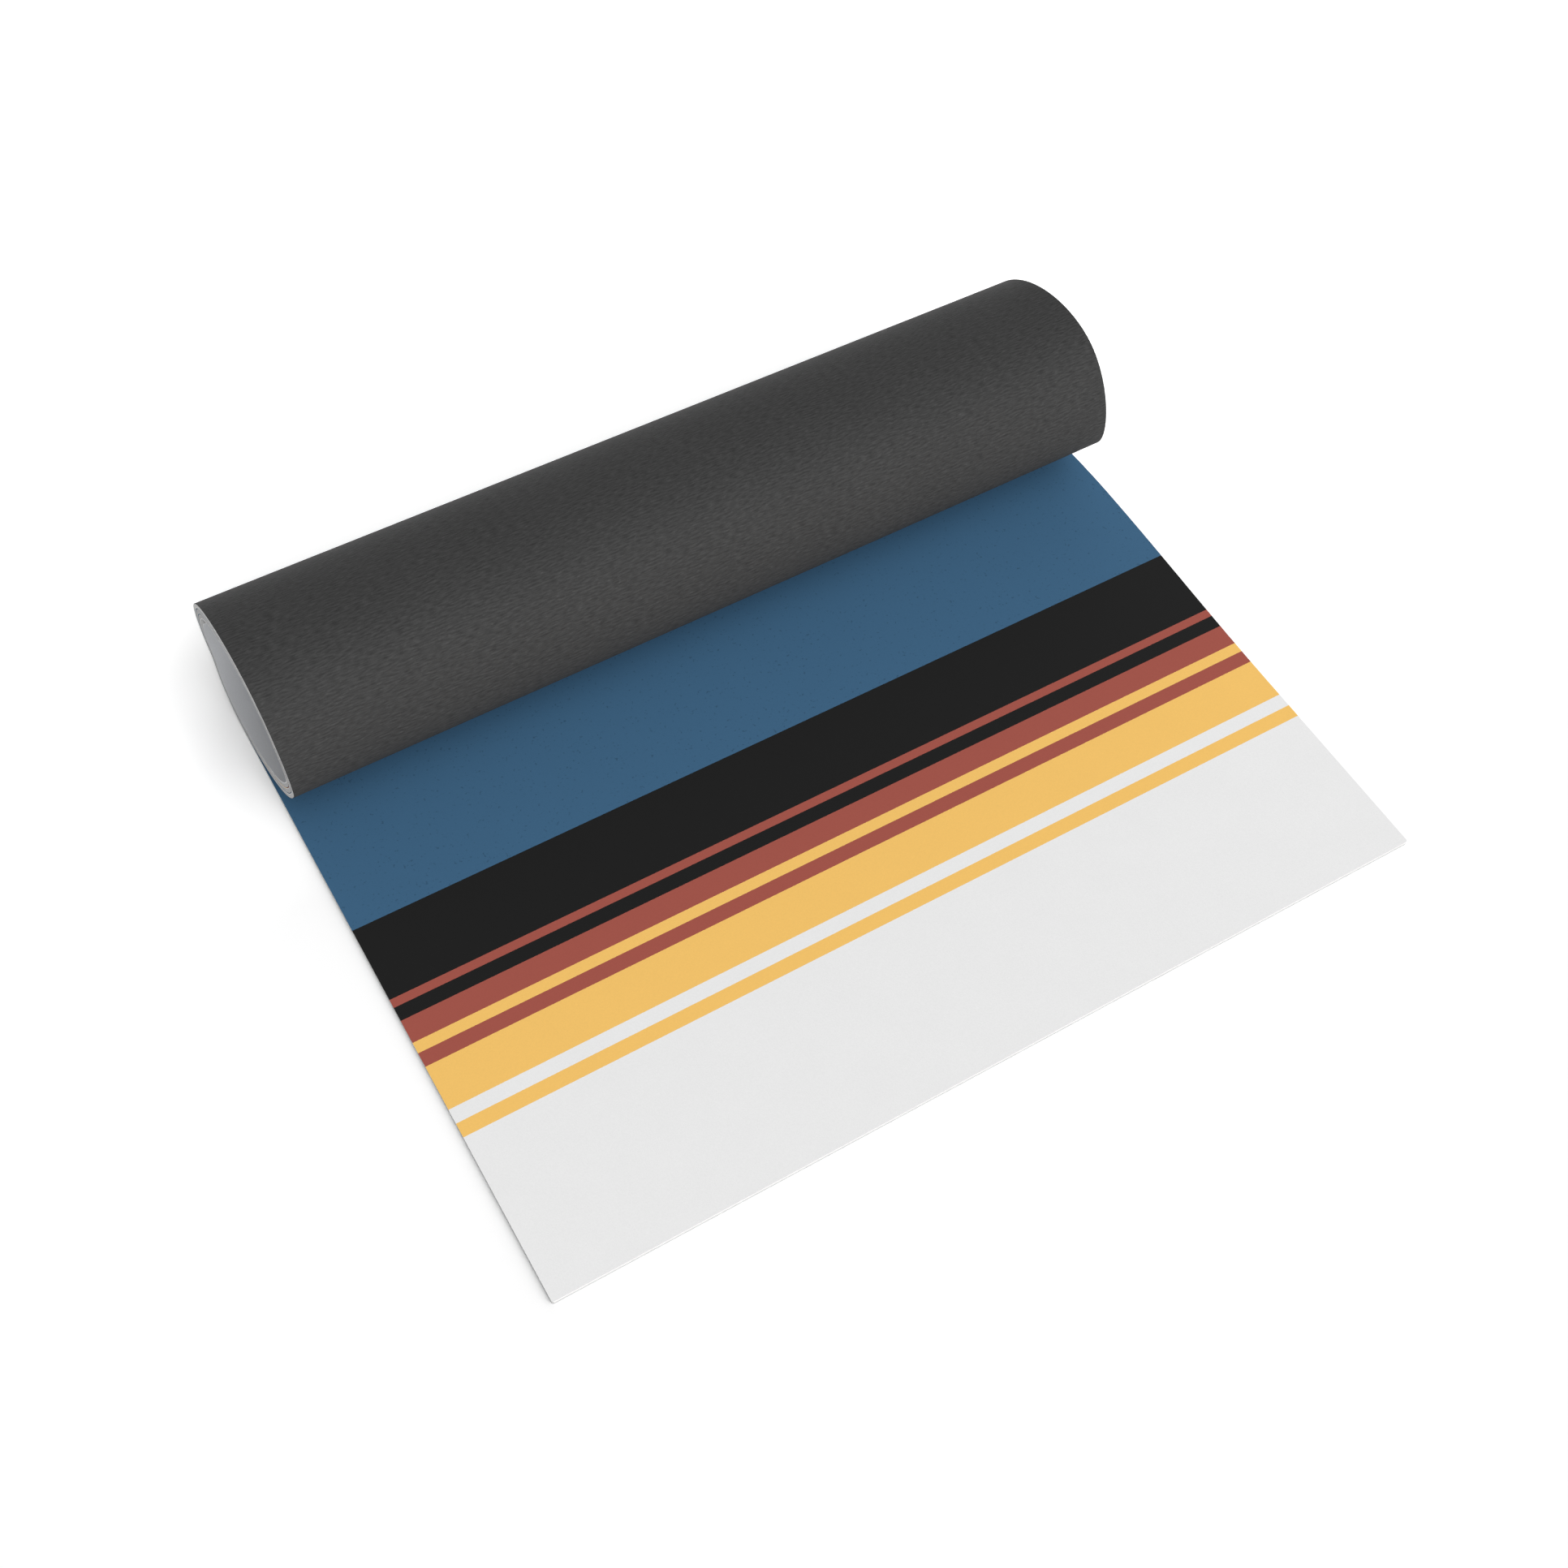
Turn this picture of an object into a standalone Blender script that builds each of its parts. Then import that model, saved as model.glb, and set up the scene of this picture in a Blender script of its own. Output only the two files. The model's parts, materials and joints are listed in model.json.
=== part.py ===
"""Yoga mat, partly unrolled: a printed three-layer mat whose far part is still wound up.

Metres, +Z up, the mat's width along X. The flat part runs from the near edge, at -Y, to the roll.
The roll is one unbroken spiral of the three layers, and the flat part is cut into lanes, hinged one to the next at the print, so that it can roll up round the outside of the roll.
"""
import math

import bmesh
import bpy
from mathutils import Vector

# Mat
MAT_WIDTH = 0.610
MAT_LENGTH = 1.727
CORNER_RADIUS = 0.003
CORNER_STEPS = 4

# Layers, from the print down
FACE_THICKNESS = 0.0005
CORE_THICKNESS = 0.0014
BACKING_THICKNESS = 0.0005
LAYER_GAP = 0.0003

# Flat part
FLAT_LENGTH = 0.4394
LANE_COUNT = 9
LANE_GAP = 0.0003

# Roll: the radius is the mean one of its underside where the winding starts
ROLL_RADIUS = 0.0697
TURN_GAP = 0.0006
STEPS_PER_TURN = 60
HALVINGS = 60
SHARP_ANGLE = math.pi / 4

# How the roll sags out of round, by how often the wave repeats in a turn: the cosine and the
# sine part of its radius of curvature, as shares of the mean radius
SAG_SHARES = {
    2: (0.39, -0.23),
    3: (0.28, 0.0),
    4: (0.15, -0.27),
}

# Print: each field's colour and the distance from the near edge at which it ends
WHITE = (0.80, 0.80, 0.80)
YELLOW = (0.85, 0.52, 0.15)
RED = (0.34, 0.083, 0.062)
BLACK = (0.017, 0.017, 0.017)
BLUE = (0.044, 0.112, 0.202)
PRINT_FIELDS = (
    (WHITE, 0.1129),
    (YELLOW, 0.1228),
    (WHITE, 0.1328),
    (YELLOW, 0.1644),
    (RED, 0.1745),
    (YELLOW, 0.1823),
    (RED, 0.1990),
    (BLACK, 0.2090),
    (RED, 0.2151),
    (BLACK, 0.2698),
    (BLUE, MAT_LENGTH),
)
FOAM = (0.62, 0.62, 0.61)
RUBBER = (0.055, 0.055, 0.055)
FACE_ROUGHNESS = 0.8
FOAM_ROUGHNESS = 0.9
RUBBER_ROUGHNESS = 0.6

# Worked out from the sizes above
BACKING_TOP = BACKING_THICKNESS
CORE_BOTTOM = BACKING_TOP + LAYER_GAP
CORE_TOP = CORE_BOTTOM + CORE_THICKNESS
FACE_BOTTOM = CORE_TOP + LAYER_GAP
MAT_THICKNESS = FACE_BOTTOM + FACE_THICKNESS
TURN_PITCH = MAT_THICKNESS + TURN_GAP
LANE_PITCH = FLAT_LENGTH / LANE_COUNT
FULL_TURN = 2 * math.pi
MILLIMETRES_PER_METRE = 1000
LAYERS = {
    "face": (FACE_BOTTOM, MAT_THICKNESS),
    "core": (CORE_BOTTOM, CORE_TOP),
    "backing": (0.0, BACKING_TOP),
}


def underside_point(angle):
    """Point of the roll's underside, from its lift-off, where the tangent has turned by an angle.

    It is the closed form of the sum of the radius of curvature over the angle. The radius is the
    mean one, less a pitch for each full turn, plus the waves of the sag.
    """
    along = ROLL_RADIUS * math.sin(angle)
    along -= TURN_PITCH / FULL_TURN * (angle * math.sin(angle) + math.cos(angle) - 1)
    up = ROLL_RADIUS * (1 - math.cos(angle))
    up -= TURN_PITCH / FULL_TURN * (math.sin(angle) - angle * math.cos(angle))
    for waves, (cosine_share, sine_share) in SAG_SHARES.items():
        for order in (waves - 1, waves + 1):
            sign = order - waves
            half_cosine = ROLL_RADIUS * cosine_share / 2 / order
            half_sine = ROLL_RADIUS * sine_share / 2 / order
            along += half_cosine * math.sin(order * angle)
            along += half_sine * (1 - math.cos(order * angle))
            up += sign * half_cosine * (1 - math.cos(order * angle))
            up -= sign * half_sine * math.sin(order * angle)
    return along, up


def wound_length(angle):
    """Length of the mat's middle from the lift-off to a tangent angle."""
    length = (ROLL_RADIUS - MAT_THICKNESS / 2) * angle
    length -= TURN_PITCH * angle * angle / FULL_TURN / 2
    for waves, (cosine_share, sine_share) in SAG_SHARES.items():
        length += ROLL_RADIUS * cosine_share * math.sin(waves * angle) / waves
        length += ROLL_RADIUS * sine_share * (1 - math.cos(waves * angle)) / waves
    return length


def last_angle():
    """Tangent angle at the mat's far end, found by halving, from the length left to wind."""
    low = 0.0
    high = (ROLL_RADIUS - MAT_THICKNESS) / TURN_PITCH * FULL_TURN
    for _ in range(HALVINGS):
        middle = (low + high) / 2
        if wound_length(middle) < MAT_LENGTH - FLAT_LENGTH:
            low = middle
        else:
            high = middle
    return low


def roll_angles():
    """Tangent angles of the roll's rows: even steps, so that the turns' rows lie in line."""
    step = FULL_TURN / STEPS_PER_TURN
    end = last_angle()
    angles = [step * row for row in range(int(end / step) + 1)]
    if end - angles[-1] > step / 2:
        angles.append(end)
    else:
        angles[-1] = end
    return angles


def roll_point(angle, height):
    """Place across the roll of a point at a height in the mat above its underside."""
    along, up = underside_point(angle)
    y = LIFT_OFF + along - height * math.sin(angle)
    z = up + height * math.cos(angle)
    return y, z


def roll_reach():
    """Farthest point of the roll behind its lift-off, along Y."""
    turns = [FULL_TURN * row / STEPS_PER_TURN for row in range(STEPS_PER_TURN)]
    return max(underside_point(angle)[0] for angle in turns)


# The origin is under the middle of the whole part
HALF_DEPTH = (FLAT_LENGTH + LANE_GAP / 2 + roll_reach()) / 2
NEAR_EDGE = -HALF_DEPTH
HINGE_START = NEAR_EDGE + FLAT_LENGTH
LIFT_OFF = HINGE_START + LANE_GAP / 2


def print_colour(distance):
    """Colour of the print at a distance from the near edge."""
    for colour, end in PRINT_FIELDS:
        if distance < end:
            return colour
    return PRINT_FIELDS[-1][0]


def make_material(name, colour, roughness):
    material = bpy.data.materials.new(name)
    material.use_nodes = True
    shader = material.node_tree.nodes["Principled BSDF"]
    shader.inputs["Base Color"].default_value = (*colour, 1.0)
    shader.inputs["Roughness"].default_value = roughness
    shader.inputs["Metallic"].default_value = 0.0
    material.diffuse_color = (*colour, 1.0)
    return material


def layer_material(name, layer, distance):
    """Material of one piece: the print's colour at its place, foam, or rubber."""
    if layer == "face":
        return make_material(name, print_colour(distance), FACE_ROUGHNESS)
    if layer == "core":
        return make_material(name, FOAM, FOAM_ROUGHNESS)
    return make_material(name, RUBBER, RUBBER_ROUGHNESS)


def add_object(name, mesh_builder, material):
    mesh = bpy.data.meshes.new(name)
    bmesh.ops.recalc_face_normals(mesh_builder, faces=mesh_builder.faces)
    mesh_builder.to_mesh(mesh)
    mesh_builder.free()
    mesh.materials.append(material)
    piece = bpy.data.objects.new(name, mesh)
    bpy.context.scene.collection.objects.link(piece)
    return piece


def lane_outline(back, front, rounded):
    """Plan of a lane, round its edge from the back left corner."""
    half_width = MAT_WIDTH / 2
    outline = [(half_width, back), (-half_width, back)]
    if not rounded:
        return outline + [(-half_width, front), (half_width, front)]
    for side, quarter in ((-1, 2), (1, 3)):
        centre_x = side * (half_width - CORNER_RADIUS)
        centre_y = front + CORNER_RADIUS
        for step in range(CORNER_STEPS + 1):
            turn = math.pi / 2 * (quarter + step / CORNER_STEPS)
            x = centre_x + CORNER_RADIUS * math.cos(turn)
            y = centre_y + CORNER_RADIUS * math.sin(turn)
            outline.append((x, y))
    return outline


def make_lane(number, layer, hinge):
    """One layer of one lane, with its origin on the lane's hinge."""
    low, high = LAYERS[layer]
    back = -LANE_GAP / 2
    is_last = number == LANE_COUNT
    front = -LANE_PITCH if is_last else LANE_GAP / 2 - LANE_PITCH
    builder = bmesh.new()
    outline = lane_outline(back, front, is_last)
    corners = [builder.verts.new((x, y, low - MAT_THICKNESS)) for x, y in outline]
    base = builder.faces.new(corners)
    lifted = bmesh.ops.extrude_face_region(builder, geom=[base])
    top = [item for item in lifted["geom"] if isinstance(item, bmesh.types.BMVert)]
    bmesh.ops.translate(builder, verts=top, vec=Vector((0, 0, high - low)))
    name = f"lane_{number:02d}_{layer}"
    distance = FLAT_LENGTH - (number - 1 / 2) * LANE_PITCH
    piece = add_object(name, builder, layer_material(name, layer, distance))
    piece.parent = hinge
    return piece


def make_hinge(number, parent):
    """Empty on the hinge at a lane's back edge, in the plane of the print."""
    hinge = bpy.data.objects.new(f"hinge_{number:02d}", None)
    bpy.context.scene.collection.objects.link(hinge)
    if parent is None:
        hinge.location = (0, HINGE_START, MAT_THICKNESS)
    else:
        hinge.parent = parent
        hinge.location = (0, -LANE_PITCH, 0)
    return hinge


def make_flat_part():
    hinge = None
    for number in range(1, LANE_COUNT + 1):
        hinge = make_hinge(number, hinge)
        for layer in LAYERS:
            make_lane(number, layer, hinge)


def make_roll_layer(layer):
    """One layer of the roll: a spiral strip, closed along its four edges."""
    low, high = LAYERS[layer]
    half_width = MAT_WIDTH / 2
    builder = bmesh.new()
    rows = []
    for angle in roll_angles():
        row = []
        for side, height in ((-1, low), (1, low), (1, high), (-1, high)):
            y, z = roll_point(angle, height)
            row.append(builder.verts.new((side * half_width, y, z)))
        rows.append(row)
    for row, following in zip(rows, rows[1:]):
        for corner in range(4):
            after = (corner + 1) % 4
            builder.faces.new((row[corner], row[after], following[after], following[corner]))
    builder.faces.new(rows[0][::-1])
    builder.faces.new(rows[-1])
    name = f"roll_{layer}"
    piece = add_object(name, builder, layer_material(name, layer, MAT_LENGTH / 2))
    return piece


def make_roll():
    for layer in LAYERS:
        piece = make_roll_layer(layer)
        piece.data.shade_smooth()
        piece.data.set_sharp_from_angle(angle=SHARP_ANGLE)


def measure_turn_gap():
    """Least gap between the roll and its next turn in, measured from point to line."""
    angles = roll_angles()
    under = [Vector(roll_point(angle, 0.0)) for angle in angles]
    upper = [Vector(roll_point(angle, MAT_THICKNESS)) for angle in angles]
    least = math.inf
    for row, point in enumerate(upper):
        first = row + STEPS_PER_TURN // 2
        for start, end in zip(under[first:], under[first + 1:]):
            run = end - start
            share = max(0.0, min(1.0, (point - start).dot(run) / run.length_squared))
            least = min(least, (point - start - run * share).length)
    return least


def clear_scene():
    for item in list(bpy.data.objects):
        bpy.data.objects.remove(item, do_unlink=True)


clear_scene()
make_flat_part()
make_roll()
print("Least gap between turns, mm:", round(measure_turn_gap() * MILLIMETRES_PER_METRE, 3))
print("Turns in the roll:", round(last_angle() / FULL_TURN, 2))
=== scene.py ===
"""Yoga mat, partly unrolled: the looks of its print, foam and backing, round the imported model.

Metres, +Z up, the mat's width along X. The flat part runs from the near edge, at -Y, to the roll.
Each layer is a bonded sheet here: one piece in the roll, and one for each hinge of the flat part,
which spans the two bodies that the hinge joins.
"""
import json
import math

import bpy
from mathutils import Matrix, Vector


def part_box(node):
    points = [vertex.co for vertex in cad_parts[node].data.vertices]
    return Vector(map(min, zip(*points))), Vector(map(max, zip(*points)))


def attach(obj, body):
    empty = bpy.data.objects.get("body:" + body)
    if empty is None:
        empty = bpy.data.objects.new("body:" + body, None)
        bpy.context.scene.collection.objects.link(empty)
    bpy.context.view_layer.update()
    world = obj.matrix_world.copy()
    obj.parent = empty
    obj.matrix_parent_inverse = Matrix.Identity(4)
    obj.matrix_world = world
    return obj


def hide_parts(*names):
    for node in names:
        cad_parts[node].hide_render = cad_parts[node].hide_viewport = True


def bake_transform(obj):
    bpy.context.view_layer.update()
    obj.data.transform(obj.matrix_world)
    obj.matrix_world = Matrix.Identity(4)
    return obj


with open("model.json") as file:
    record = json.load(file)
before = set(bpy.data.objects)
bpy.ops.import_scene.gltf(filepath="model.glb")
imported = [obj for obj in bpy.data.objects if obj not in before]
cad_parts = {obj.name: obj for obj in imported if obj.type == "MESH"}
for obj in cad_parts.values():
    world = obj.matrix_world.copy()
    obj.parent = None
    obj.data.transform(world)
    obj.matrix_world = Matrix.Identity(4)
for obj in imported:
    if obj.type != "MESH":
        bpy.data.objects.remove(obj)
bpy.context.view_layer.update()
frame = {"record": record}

# Turns, and the size of a matrix that turns a direction
FULL_TURN = 2 * math.pi
QUARTER_TURN = math.pi / 2
DIMENSIONS = 3

# Sizes of the mat and of its roll's curve, as in the part
MAT_LENGTH = 1.727
ROLL_RADIUS = 0.0697
TURN_GAP = 0.0006
LANE_GAP = 0.0003
SAG_SHARES = {
    2: (0.39, -0.23),
    3: (0.28, 0.0),
    4: (0.15, -0.27),
}

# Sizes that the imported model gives
HINGES = {joint["child"]: joint["pos_m"][1] for joint in frame["record"]["behaviour"]["joints"]}
LANE_COUNT = len(HINGES)
LANE_PITCH = HINGES["lane_01"] - HINGES["lane_02"]
LIFT_OFF = HINGES["lane_01"] + LANE_GAP / 2
NEAR_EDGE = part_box(f"lane_{LANE_COUNT:02d}_face")[0].y
FLAT_LENGTH = LIFT_OFF - NEAR_EDGE
HALF_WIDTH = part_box("roll_face")[1].x
MAT_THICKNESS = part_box("lane_01_face")[1].z
TURN_PITCH = MAT_THICKNESS + TURN_GAP

# Layers, from the floor up: where each bonded layer starts and ends
BACKING_TOP = 0.0005
CORE_TOP = 0.0025
LAYERS = {
    "backing": (0.0, BACKING_TOP),
    "core": (BACKING_TOP, CORE_TOP),
    "face": (CORE_TOP, MAT_THICKNESS),
}

# The corners of the near edge are sharper than in the part
CORNER_RADIUS = 0.0015

# The turns lie on each other: within the first part of a turn the mat swells to what a turn takes
WOUND_THICKNESS = 0.00345
SWELL_ANGLE = math.radians(90)

# How far the flat part's right edge bows out, where from the near edge that starts, and the
# lengths over which it rises and falls again
BOW = 0.0032
BOW_START = 0.15
BOW_RISE = 0.19
BOW_FALL = 0.10

# Fineness of the meshes
ROWS_PER_TURN = 144
FLAT_ROW = 0.003
LEAST_ROWS = 2
COLUMNS = 30
CORNER_STEPS = 6
HALVINGS = 50
SHARP_ANGLE = math.pi / 4

# The roll isn't wound quite evenly. At its left and its right end: how far it is stretched along
# the mat and upwards, how far it lies towards the back, how far its edge lies to the right at the
# height of the roll's middle, and how far the edge leans to the right for each metre towards the
# back and for each metre up.
STRETCH_ALONG_SHARES = (1.020, 0.984)
STRETCH_UP_SHARES = (1.0156, 0.9957)
SET_BACK = (-0.0001, -0.0010)
SET_RIGHT = (0.0022, 0.0018)
LEAN_BACK = (-0.0082, 0.0195)
LEAN_UP = (-0.0181, -0.0067)
ROLL_MIDDLE = 0.060

# The roll's move to the back reaches its whole size over the first angle from the lift-off. The
# roll's edges are in line with the flat part's where a turn is at its lowest: they leave that line
# over the first angle past the lowest place, and come back to it over the second before the next.
UNEVEN_ANGLE = math.radians(60)
FLUSH_ANGLE = math.radians(80)

# Name of the attribute that holds each point's place in the unrolled mat
PLACE_NAME = "mat_place"

# Each noise below is given by the size of its features and by how many finer ones it adds, each
# bump by its depth and its strength, and tones by the least and the greatest brightness. Specks
# start at the first level of their noise and are full at the second.

# Print: each field's colour and the distance from the mat's end at which it ends. The fields run
# alike from both ends, but at the far one a light grey field takes up the inner turn before them:
# a plain field whose grey, darker than the white, is painted shade inside the roll.
# The fields' edges waver by the fringe to each side.
WHITE = (0.79, 0.79, 0.79, 1)
YELLOW = (0.86, 0.52, 0.138, 1)
RED = (0.34, 0.083, 0.062, 1)
BLACK = (0.0095, 0.0095, 0.0095, 1)
BLUE = (0.043, 0.117, 0.212, 1)
FAR_FIELD_PAINTED_SHADE_GREY = (0.65, 0.66, 0.68, 1)
PRINT_FIELDS = (
    (WHITE, 0.1129),
    (YELLOW, 0.1228),
    (WHITE, 0.1328),
    (YELLOW, 0.1644),
    (RED, 0.1745),
    (YELLOW, 0.1823),
    (RED, 0.1990),
    (BLACK, 0.2090),
    (RED, 0.2151),
    (BLACK, 0.2698),
)
BLUE_START = PRINT_FIELDS[-1][1]
FAR_FIELD = 0.40
FAR_FIELD_START = MAT_LENGTH - FAR_FIELD
FRINGE = 0.0002
FRINGE_NOISE = (0.0008, 2)

# Suede: the print's colours go down to a depth, and below that it is white
DYED_DEPTH = 0.0002
FIBRE_NOISE = (0.0009, 3)
FIBRE_TONES = (0.95, 1.05)
FIBRE_BUMP = (0.0001, 0.35)
FACE_BLOTCH_NOISE = (0.03, 3)
FACE_BLOTCH_TONES = (0.985, 1.015)
DARK_SPECK_NOISE = (0.0018, 1)
DARK_SPECK_LEVELS = (0.66, 0.76)
DARK_SPECK_DEPTH = 0.3
FACE_ROUGHNESS = 0.85
FACE_SPECULAR = 0.1
FACE_SHEEN = 0.03
FACE_SHEEN_ROUGHNESS = 0.6

# Foam: it is greyer in the roll's inner turns, from the first to the second distance on, as painted
# shade in the roll's hollow ends
FOAM = (0.63, 0.63, 0.62, 1)
BACKING_CORE_AND_PAINTED_SHADE_GREY = (0.46, 0.46, 0.46, 1)
PAINTED_SHADE_DISTANCES = (0.70, 0.80)
CELL_SIZE = 0.0005
CELL_TONES = (0.92, 1.04)
CELL_BUMP = (0.00015, 0.4)
FOAM_ROUGHNESS = 0.9
FOAM_SPECULAR = 0.2

# Backing: its skin is rubber, and inside it has the grey that the foam of the inner turns takes as
# painted shade. The skin's colour is darker in the creases' lows and lighter on their highs, as
# painted shade and highlights of the grain, and its light specks are painted glints.
RUBBER = (0.042, 0.042, 0.042, 1)
SKIN_DEPTH = 0.00012
GRAIN_NOISE = (0.0011, 2)
GRAIN_ROUGHNESSES = (0.55, 0.75)
CREASE_NOISE = (0.0011, 1)
CREASE_SQUEEZE = (0.2, 1.0, 1.0)
CREASE_PAINTED_LIGHT_TONES = (0.45, 1.55)
CREASE_BUMP = (0.0005, 0.4)
PAINTED_GLINT_NOISE = (0.0012, 0)
PAINTED_GLINT_SQUEEZE = (0.35, 1.0, 1.0)
PAINTED_GLINT_LEVELS = (0.68, 0.85)
PAINTED_GLINT_HEIGHT = 0.3
BACKING_BLOTCH_NOISE = (0.05, 3)
BACKING_BLOTCH_TONES = (0.95, 1.05)
BACKING_SPECULAR = 0.06

# Places of a Mix node's sockets for colours, which share their names with its other sockets
MIX_SHARE = 0
MIX_FIRST = 6
MIX_SECOND = 7
MIX_RESULT = 2

# Camera: worked out from the stripes and the edges in the photograph, which is square
PHOTO_PIXELS = 1932
FOCAL_PIXELS = 2549
SENSOR_WIDTH = 36
CAMERA_PLACE = Vector((-0.4190, -0.6404, 1.1120))
CAMERA_LOOK = Vector((0.29914, 0.46730, -0.83195))
CAMERA_UP = Vector((0.40827, 0.72536, 0.55422))

# Floor: the camera sees it a little brighter towards the roll, and more so beside it: painted light
# that lightens the roll's shadow there. The two are added up, and each has how bright it is at a
# start and at an end along Y.
FLOOR_SIZE = 60
FLOOR_DROP = 0.0002
FLOOR_COLOUR = (0.97, 0.97, 0.97, 1)
FLOOR_PAINTED_LIGHT_TOWARDS_ROLL = ((-0.25, 0.98), (0.05, 1.04))
FLOOR_PAINTED_LIGHT_BESIDE_ROLL = ((0.05, 0.0), (0.20, 0.35))

# Light: an even sky with broad glows in it, low and high at the front right, high at the front and
# low at the back right. Each has its azimuth from +X and its elevation, in degrees, and its
# strength.
SKY_COLOUR = (1, 1, 1, 1)
SKY_STRENGTH = 0.10
SKY_SEEN = 1.0
GLOW_SHARPNESS = 6
GLOWS = (
    (300, 3, 3.40),
    (270, 50, 1.56),
    (300, 50, 1.20),
    (60, 15, 1.56),
)


def underside_point(angle):
    """Point of the roll's underside where its tangent has turned by an angle from the lift-off."""
    along = ROLL_RADIUS * math.sin(angle)
    along -= TURN_PITCH / FULL_TURN * (angle * math.sin(angle) + math.cos(angle) - 1)
    up = ROLL_RADIUS * (1 - math.cos(angle))
    up -= TURN_PITCH / FULL_TURN * (math.sin(angle) - angle * math.cos(angle))
    for waves, (cosine_share, sine_share) in SAG_SHARES.items():
        for order in (waves - 1, waves + 1):
            sign = order - waves
            half_cosine = ROLL_RADIUS * cosine_share / 2 / order
            half_sine = ROLL_RADIUS * sine_share / 2 / order
            along += half_cosine * math.sin(order * angle)
            along += half_sine * (1 - math.cos(order * angle))
            up += sign * half_cosine * (1 - math.cos(order * angle))
            up -= sign * half_sine * math.sin(order * angle)
    return along, up


def wound_length(angle):
    """Length of the mat's middle from the lift-off to a tangent angle."""
    length = (ROLL_RADIUS - MAT_THICKNESS / 2) * angle
    length -= TURN_PITCH * angle * angle / FULL_TURN / 2
    for waves, (cosine_share, sine_share) in SAG_SHARES.items():
        length += ROLL_RADIUS * cosine_share * math.sin(waves * angle) / waves
        length += ROLL_RADIUS * sine_share * (1 - math.cos(waves * angle)) / waves
    return length


def last_angle():
    """Tangent angle at the mat's far end, found by halving, from the length left to wind."""
    low = 0.0
    high = (ROLL_RADIUS - MAT_THICKNESS) / TURN_PITCH * FULL_TURN
    for _ in range(HALVINGS):
        middle = (low + high) / 2
        if wound_length(middle) < MAT_LENGTH - FLAT_LENGTH:
            low = middle
        else:
            high = middle
    return low


def eased(value, end):
    """Smooth step from 0, where the value is 0 or less, to 1, from the end on."""
    share = min(1.0, max(0.0, value / end))
    return share * share * (3 - 2 * share)


def between(ends, x):
    """Value at a place across the mat, from its values at the left and the right end."""
    left, right = ends
    return left + (right - left) * (x / HALF_WIDTH + 1) / 2


def roll_point(x, angle, height):
    """Place of a point of the roll, at a height in the mat above its underside."""
    along, up = underside_point(angle)
    height *= 1 + (WOUND_THICKNESS / MAT_THICKNESS - 1) * eased(angle, SWELL_ANGLE)
    uneven = eased(angle, UNEVEN_ANGLE)
    in_turn = angle % FULL_TURN
    off_floor = eased(in_turn, UNEVEN_ANGLE) * eased(FULL_TURN - in_turn, FLUSH_ANGLE)
    right = between(SET_RIGHT, x) + between(LEAN_BACK, x) * along
    right += between(LEAN_UP, x) * (up - ROLL_MIDDLE)
    y = LIFT_OFF + along * between(STRETCH_ALONG_SHARES, x) + between(SET_BACK, x) * uneven
    y -= height * math.sin(angle)
    z = up * between(STRETCH_UP_SHARES, x) + height * math.cos(angle)
    return Vector((x + right * off_floor, y, z))


def flat_point(x, distance, height):
    """Place of a point of the flat part, at a distance from the near edge."""
    return Vector((x, NEAR_EDGE + distance, height))


def across():
    """Places of the columns of points across the mat."""
    return [HALF_WIDTH * (2 * column / COLUMNS - 1) for column in range(COLUMNS + 1)]


def roll_rows(low, high):
    """The roll's rows: for each, the points of its two sides and the distance along the mat."""
    end = last_angle()
    count = int(end / FULL_TURN * ROWS_PER_TURN) + 1
    rows = []
    for row in range(count + 1):
        angle = end * row / count
        distance = FLAT_LENGTH + wound_length(angle)
        under = [roll_point(x, angle, low) for x in across()]
        over = [roll_point(x, angle, high) for x in across()]
        rows.append((under, over, distance))
    return rows


def corner_inset(distance):
    """How far the mat's sides are in from its full width at a distance from the near edge."""
    if distance >= CORNER_RADIUS:
        return 0.0
    off = CORNER_RADIUS - distance
    return CORNER_RADIUS - math.sqrt(CORNER_RADIUS * CORNER_RADIUS - off * off)


def bowed(x, distance):
    """Place across the flat part, whose right edge bows out a little in front of the roll."""
    bow = BOW * eased(distance - BOW_START, BOW_RISE) * eased(FLAT_LENGTH - distance, BOW_FALL)
    return x + bow * max(0.0, x) / HALF_WIDTH


def flat_rows(start, end, low, high):
    """Rows of a stretch of the flat part, from the roll's side towards the near edge."""
    count = max(LEAST_ROWS, round((start - end) / FLAT_ROW))
    distances = [start + (end - start) * row / count for row in range(count + 1)]
    if end < CORNER_RADIUS:
        distances = [distance for distance in distances if distance > CORNER_RADIUS]
        for step in range(CORNER_STEPS + 1):
            turn = QUARTER_TURN * step / CORNER_STEPS
            distances.append(CORNER_RADIUS * (1 - math.sin(turn)))
    rows = []
    for distance in distances:
        inset_share = 1 - corner_inset(distance) / HALF_WIDTH
        places = [bowed(x * inset_share, distance) for x in across()]
        under = [flat_point(x, distance, low) for x in places]
        over = [flat_point(x, distance, high) for x in places]
        rows.append((under, over, distance))
    return rows


def sheet_faces(length, width):
    """Faces of a closed sheet whose two sides have so many rows of points, each so many wide."""
    def at(side, row, column):
        return (side * length + row) * width + column

    faces = []
    for row in range(length - 1):
        for column in range(width - 1):
            ring = ((row, column), (row, column + 1), (row + 1, column + 1), (row + 1, column))
            faces.append([at(0, *corner) for corner in ring])
            faces.append([at(1, *corner) for corner in reversed(ring)])
    for column in (0, width - 1):
        for row in range(length - 1):
            first, last = (row, row + 1) if column else (row + 1, row)
            faces.append((at(0, first, column), at(0, last, column),
                          at(1, last, column), at(1, first, column)))
    for row in (0, length - 1):
        for column in range(width - 1):
            first, last = (column + 1, column) if row else (column, column + 1)
            faces.append((at(0, row, last), at(0, row, first),
                          at(1, row, first), at(1, row, last)))
    return faces


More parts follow.
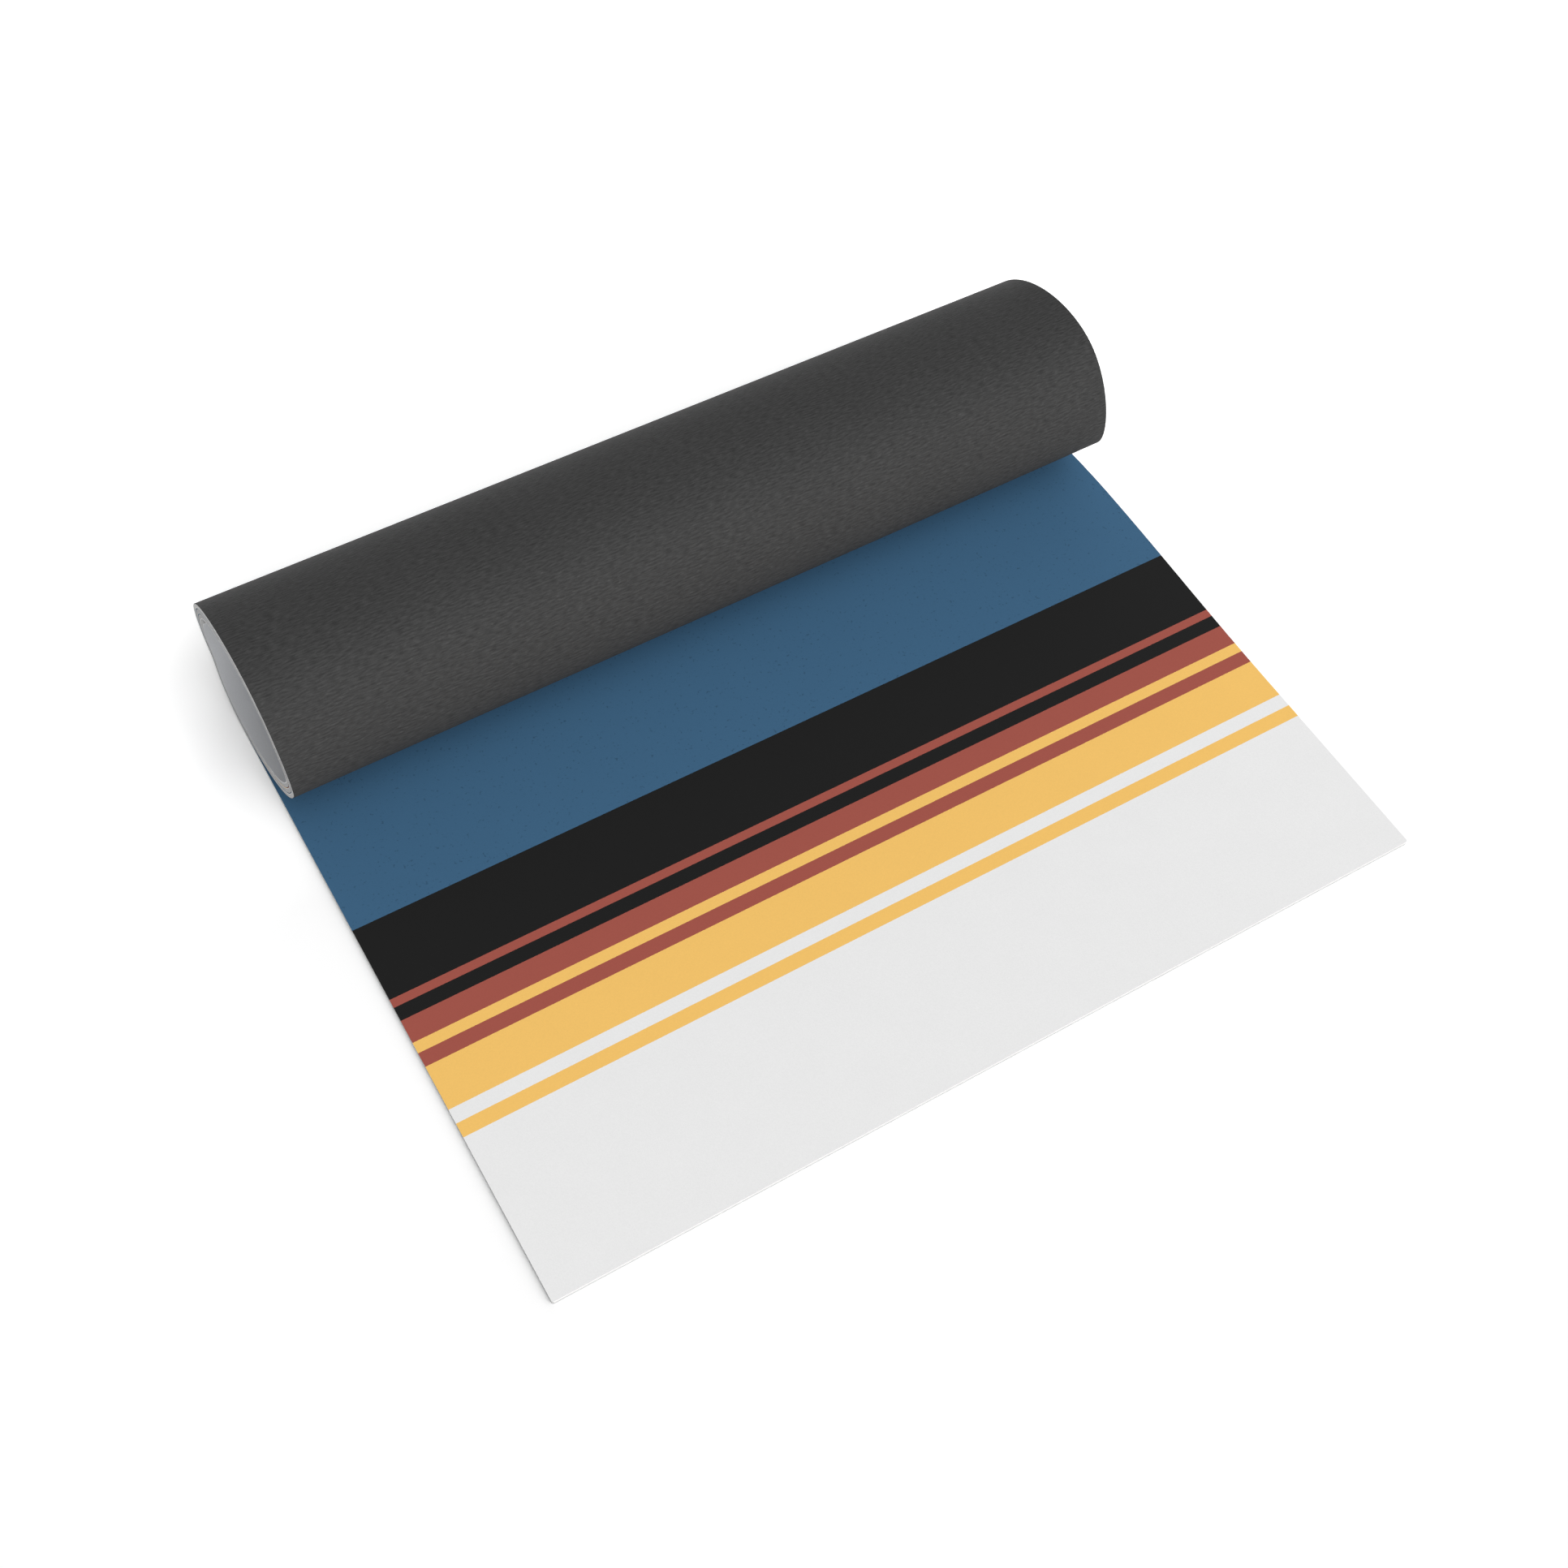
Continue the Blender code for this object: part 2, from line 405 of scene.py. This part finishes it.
def sheet_mesh(name, rows, layer):
    """Closed mesh of a stretch of one layer, with each point's place in the unrolled mat."""
    points, places = [], []
    for side, height in enumerate(LAYERS[layer]):
        for row in rows:
            for point in row[side]:
                points.append(point)
                places.append((point.x, row[2], height))
    mesh = bpy.data.meshes.new(name)
    mesh.from_pydata(points, [], sheet_faces(len(rows), COLUMNS + 1))
    mesh.update()
    place = mesh.attributes.new(PLACE_NAME, "FLOAT_VECTOR", "POINT")
    place.data.foreach_set("vector", [value for spot in places for value in spot])
    mesh.shade_smooth()
    mesh.set_sharp_from_angle(angle=SHARP_ANGLE)
    return mesh


def add_piece(name, rows, layer, material):
    """Add a stretch of one layer to the scene."""
    piece = bpy.data.objects.new(name, sheet_mesh(name, rows, layer))
    piece.data.materials.append(material)
    bpy.context.scene.collection.objects.link(piece)
    return piece


def set_inputs(tree, node, values):
    """Give a node's input sockets their values or links."""
    for socket, value in values.items():
        if isinstance(value, bpy.types.NodeSocket):
            tree.links.new(value, node.inputs[socket])
        else:
            node.inputs[socket].default_value = value


def add_node(tree, kind, values=None, **settings):
    """A shader node with its settings, and its input sockets' values or links."""
    node = tree.nodes.new(kind)
    for name, value in settings.items():
        setattr(node, name, value)
    set_inputs(tree, node, values or {})
    return node


def math_node(tree, operation, *values):
    """Result of an operation on numbers."""
    node = add_node(tree, "ShaderNodeMath", dict(enumerate(values)), operation=operation)
    return node.outputs["Value"]


def vector_node(tree, operation, *values):
    """Outputs of an operation on vectors."""
    node = add_node(tree, "ShaderNodeVectorMath", dict(enumerate(values)), operation=operation)
    return node.outputs


def split(tree, vector):
    """X, Y and Z of a vector."""
    return add_node(tree, "ShaderNodeSeparateXYZ", {"Vector": vector}).outputs


def ranged(tree, value, results, levels=(0.0, 1.0)):
    """A value that lies between two levels, spread over the range between two results."""
    low, high = levels
    first, last = results
    values = {"Value": value, "From Min": low, "From Max": high, "To Min": first, "To Max": last}
    return add_node(tree, "ShaderNodeMapRange", values).outputs["Result"]


def tinted(tree, colour, brightness):
    """A colour made lighter or darker by a value round 1."""
    values = {"Vector": colour, "Scale": brightness}
    return add_node(tree, "ShaderNodeVectorMath", values, operation="SCALE").outputs["Vector"]


def mixed(tree, share, first, second):
    """The first colour where the share is 0, and the second where it is 1."""
    values = {MIX_SHARE: share, MIX_FIRST: first, MIX_SECOND: second}
    return add_node(tree, "ShaderNodeMix", values, data_type="RGBA").outputs[MIX_RESULT]


def noisy(tree, vector, noise):
    """Noise from 0 to 1, by the size of its features and the number of finer ones."""
    size, detail = noise
    values = {"Vector": vector, "Scale": 1 / size, "Detail": detail}
    return add_node(tree, "ShaderNodeTexNoise", values).outputs["Fac"]


def squeezed(tree, vector, factors):
    """Places scaled along each axis, so that a noise is drawn out where the factor is small."""
    return vector_node(tree, "MULTIPLY", vector, factors)["Vector"]


def bumped(tree, height, bump):
    """Normals of a surface with the bumps of a noise."""
    depth, strength = bump
    values = {"Height": height, "Distance": depth, "Strength": strength}
    return add_node(tree, "ShaderNodeBump", values).outputs["Normal"]


def new_material(name):
    """A material, its tree, its shader and the place in the unrolled mat."""
    material = bpy.data.materials.new(name)
    material.use_nodes = True
    tree = material.node_tree
    shader = tree.nodes["Principled BSDF"]
    place = add_node(tree, "ShaderNodeAttribute", attribute_name=PLACE_NAME).outputs["Vector"]
    return material, tree, shader, place


def print_colour(tree, parts, nearest):
    """Colour of the print by the distance from the fields' nearest end, and white under the dye.
    The far field's grey is painted shade inside the roll.
    """
    colour = PRINT_FIELDS[0][0]
    following = [field for field, _ in PRINT_FIELDS[1:]] + [BLUE]
    for (_, end), after in zip(PRINT_FIELDS, following):
        colour = mixed(tree, math_node(tree, "GREATER_THAN", nearest, end), colour, after)
    # Painted shade: the far field's grey is darker than the white, for the inside of the roll
    far = math_node(tree, "GREATER_THAN", parts["Y"], FAR_FIELD_START)
    dyed = math_node(tree, "GREATER_THAN", parts["Z"], MAT_THICKNESS - DYED_DEPTH)
    return mixed(tree, dyed, WHITE, mixed(tree, far, colour, FAR_FIELD_PAINTED_SHADE_GREY))


def print_material():
    """Suede with the printed stripes: fibres, faint blotches, and dark specks in the blue."""
    material, tree, shader, place = new_material("suede_print")
    parts = split(tree, place)
    from_far_field = math_node(tree, "SUBTRACT", FAR_FIELD_START, parts["Y"])
    from_far_field = math_node(tree, "MAXIMUM", from_far_field, 0.0)
    nearest = math_node(tree, "MINIMUM", parts["Y"], from_far_field)
    fringe = ranged(tree, noisy(tree, place, FRINGE_NOISE), (-FRINGE, FRINGE))
    nearest = math_node(tree, "ADD", nearest, fringe)
    fibres = noisy(tree, place, FIBRE_NOISE)
    blotches = noisy(tree, place, FACE_BLOTCH_NOISE)
    tone = math_node(tree, "MULTIPLY", ranged(tree, fibres, FIBRE_TONES),
                     ranged(tree, blotches, FACE_BLOTCH_TONES))
    specks = noisy(tree, place, DARK_SPECK_NOISE)
    specks = ranged(tree, specks, (0.0, DARK_SPECK_DEPTH), DARK_SPECK_LEVELS)
    in_blue = math_node(tree, "GREATER_THAN", nearest, BLUE_START)
    specks = math_node(tree, "MULTIPLY", specks, in_blue)
    tone = math_node(tree, "SUBTRACT", tone, specks)
    set_inputs(tree, shader, {
        "Base Color": tinted(tree, print_colour(tree, parts, nearest), tone),
        "Roughness": FACE_ROUGHNESS,
        "Specular IOR Level": FACE_SPECULAR,
        "Sheen Weight": FACE_SHEEN,
        "Sheen Roughness": FACE_SHEEN_ROUGHNESS,
        "Normal": bumped(tree, fibres, FIBRE_BUMP),
    })
    return material


def foam_material():
    """Light closed-cell foam, seen at the cut edges, and greyer in the roll's inner turns as
    painted shade.
    """
    material, tree, shader, place = new_material("foam_core")
    cells = add_node(tree, "ShaderNodeTexVoronoi", {"Vector": place, "Scale": 1 / CELL_SIZE})
    pores = cells.outputs["Distance"]
    # Painted shade: the foam turns grey in the roll's inner turns
    painted_shade_share = ranged(tree, split(tree, place)["Y"], (0.0, 1.0), PAINTED_SHADE_DISTANCES)
    colour = mixed(tree, painted_shade_share, FOAM, BACKING_CORE_AND_PAINTED_SHADE_GREY)
    set_inputs(tree, shader, {
        "Base Color": tinted(tree, colour, ranged(tree, pores, CELL_TONES)),
        "Roughness": FOAM_ROUGHNESS,
        "Specular IOR Level": FOAM_SPECULAR,
        "Normal": bumped(tree, pores, CELL_BUMP),
    })
    return material


def backing_material():
    """Dark grey rubber: a fine grain, short creases that run across the mat, and light specks; the
    creases' colour is painted shade and highlights, and the specks are painted glints.
    """
    material, tree, shader, place = new_material("rubber_backing")
    creases = noisy(tree, squeezed(tree, place, CREASE_SQUEEZE), CREASE_NOISE)
    grain = noisy(tree, place, GRAIN_NOISE)
    # Painted glints: light specks drawn out across the mat
    specks = noisy(tree, squeezed(tree, place, PAINTED_GLINT_SQUEEZE), PAINTED_GLINT_NOISE)
    specks = ranged(tree, specks, (0.0, PAINTED_GLINT_HEIGHT), PAINTED_GLINT_LEVELS)
    blotches = noisy(tree, place, BACKING_BLOTCH_NOISE)
    # Painted shade and highlights: the colour is darker in the creases' lows and lighter on their
    # highs
    tone = math_node(tree, "MULTIPLY", ranged(tree, creases, CREASE_PAINTED_LIGHT_TONES),
                     ranged(tree, blotches, BACKING_BLOTCH_TONES))
    tone = math_node(tree, "ADD", tone, specks)
    inside = math_node(tree, "GREATER_THAN", split(tree, place)["Z"], SKIN_DEPTH)
    colour = mixed(tree, inside, RUBBER, BACKING_CORE_AND_PAINTED_SHADE_GREY)
    set_inputs(tree, shader, {
        "Base Color": tinted(tree, colour, tone),
        "Roughness": ranged(tree, grain, GRAIN_ROUGHNESSES),
        "Specular IOR Level": BACKING_SPECULAR,
        "Normal": bumped(tree, math_node(tree, "ADD", grain, creases), CREASE_BUMP),
    })
    return material


def dress_roll(materials):
    """One piece of each layer for the whole roll."""
    for layer, material in materials.items():
        piece = add_piece(f"roll_{layer}_sheet", roll_rows(*LAYERS[layer]), layer, material)
        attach(piece, "roll")
        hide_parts(f"roll_{layer}")


def dress_flat_part(materials):
    """One piece of each layer for each hinge, from the middle of one lane to that of the next."""
    start = FLAT_LENGTH
    for number in range(1, LANE_COUNT + 1):
        following = f"lane_{number:02d}"
        hinge = HINGES[following] - NEAR_EDGE
        end = hinge - LANE_PITCH / 2 if number < LANE_COUNT else 0.0
        for layer, material in materials.items():
            rows = flat_rows(start, end, *LAYERS[layer])
            piece = add_piece(f"stretch_{number:02d}_{layer}", rows, layer, material)
            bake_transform(piece)
            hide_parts(f"{following}_{layer}")
        start = end


def make_camera():
    """Camera with the photograph's view."""
    camera = bpy.data.objects.new("camera", bpy.data.cameras.new("camera"))
    right = CAMERA_LOOK.cross(CAMERA_UP).normalized()
    up = right.cross(CAMERA_LOOK).normalized()
    axes = Matrix((right, up, -CAMERA_LOOK.normalized())).transposed()
    camera.matrix_world = Matrix.Translation(CAMERA_PLACE) @ axes.to_4x4()
    camera.data.sensor_width = SENSOR_WIDTH
    camera.data.lens = FOCAL_PIXELS / PHOTO_PIXELS * SENSOR_WIDTH
    bpy.context.scene.collection.objects.link(camera)
    bpy.context.scene.camera = camera


def seen_directly(tree):
    """1 for what the camera sees directly, in a reflection or through glass, otherwise 0."""
    path = add_node(tree, "ShaderNodeLightPath").outputs
    either = math_node(tree, "MAXIMUM", path["Is Camera Ray"], path["Is Glossy Ray"])
    return math_node(tree, "MAXIMUM", either, path["Is Transmission Ray"])


def make_floor():
    """White floor that keeps the mat's shadow, with painted light towards and beside the roll."""
    half = FLOOR_SIZE / 2
    corners = [(-half, -half, 0), (half, -half, 0), (half, half, 0), (-half, half, 0)]
    mesh = bpy.data.meshes.new("floor")
    mesh.from_pydata(corners, [], [(0, 1, 2, 3)])
    floor = bpy.data.objects.new("floor", mesh)
    floor.location.z = -FLOOR_DROP
    bpy.context.scene.collection.objects.link(floor)
    material = bpy.data.materials.new("white_floor")
    material.use_nodes = True
    tree = material.node_tree
    y = split(tree, add_node(tree, "ShaderNodeNewGeometry").outputs["Position"])["Y"]
    # Painted light: the camera sees the floor brighter towards and beside the roll, which lightens
    # the roll's shadow
    painted_lights = [ranged(tree, y, (first, last), (start, end))
              for (start, first), (end, last) in (FLOOR_PAINTED_LIGHT_TOWARDS_ROLL, FLOOR_PAINTED_LIGHT_BESIDE_ROLL)]
    seen = math_node(tree, "ADD", *painted_lights)
    colour = mixed(tree, seen_directly(tree), FLOOR_COLOUR, seen)
    diffuse = add_node(tree, "ShaderNodeBsdfDiffuse", {"Color": colour})
    set_inputs(tree, tree.nodes["Material Output"], {"Surface": diffuse.outputs["BSDF"]})
    mesh.materials.append(material)


def make_light():
    """Sky that lights the mat, and that the camera sees as plain white."""
    world = bpy.data.worlds.new("studio")
    bpy.context.scene.world = world
    world.use_nodes = True
    tree = world.node_tree
    way = add_node(tree, "ShaderNodeTexCoord").outputs["Generated"]
    light = SKY_STRENGTH
    for azimuth, elevation, strength in GLOWS:
        turn = Matrix.Rotation(math.radians(azimuth), DIMENSIONS, "Z")
        lift = Matrix.Rotation(-math.radians(elevation), DIMENSIONS, "Y")
        centre = turn @ lift @ Vector((1, 0, 0))
        fall = vector_node(tree, "DOT_PRODUCT", way, centre)["Value"]
        fall = math_node(tree, "SUBTRACT", fall, 1.0)
        fall = math_node(tree, "MULTIPLY", fall, GLOW_SHARPNESS)
        glow = math_node(tree, "MULTIPLY", math_node(tree, "EXPONENT", fall), strength)
        light = math_node(tree, "ADD", glow, light)
    shown = ranged(tree, seen_directly(tree), (light, SKY_SEEN))
    set_inputs(tree, tree.nodes["Background"], {"Color": SKY_COLOUR, "Strength": shown})
    bpy.context.scene.view_settings.view_transform = "Standard"


sheet_materials = {
    "backing": backing_material(),
    "core": foam_material(),
    "face": print_material(),
}
make_camera()
dress_roll(sheet_materials)
dress_flat_part(sheet_materials)
make_floor()
make_light()
